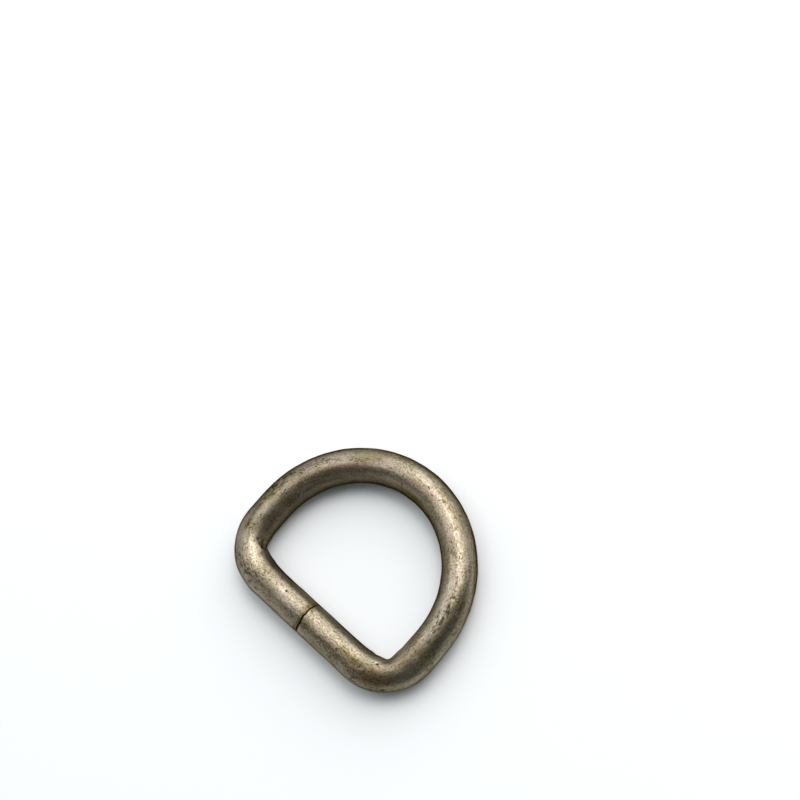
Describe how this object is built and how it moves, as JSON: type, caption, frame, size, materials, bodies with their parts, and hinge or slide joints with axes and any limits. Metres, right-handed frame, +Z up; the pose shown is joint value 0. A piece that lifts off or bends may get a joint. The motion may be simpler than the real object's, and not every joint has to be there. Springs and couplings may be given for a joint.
{
  "type": "d ring",
  "caption": "D-shaped ring of bent round wire with an open seam. A strap goes round its straight bar, and a hook or another strap on its half-round bow.",
  "frame": {"origin": "middle of the ring's outline, on the surface that it lies flat on", "axes": "+X along the straight bar, +Y from the bar towards the top of the bow, +Z up through the opening"},
  "size_m": [0.036, 0.0293, 0.005],
  "materials": {
    "antique_metal": "dark antique plating over steel, half gloss, with brassy stains, fine draw marks along the wire and small pits"
  },
  "bodies": {
    "root": {"wire_ring": "antique_metal"}
  },
  "joints": []
}
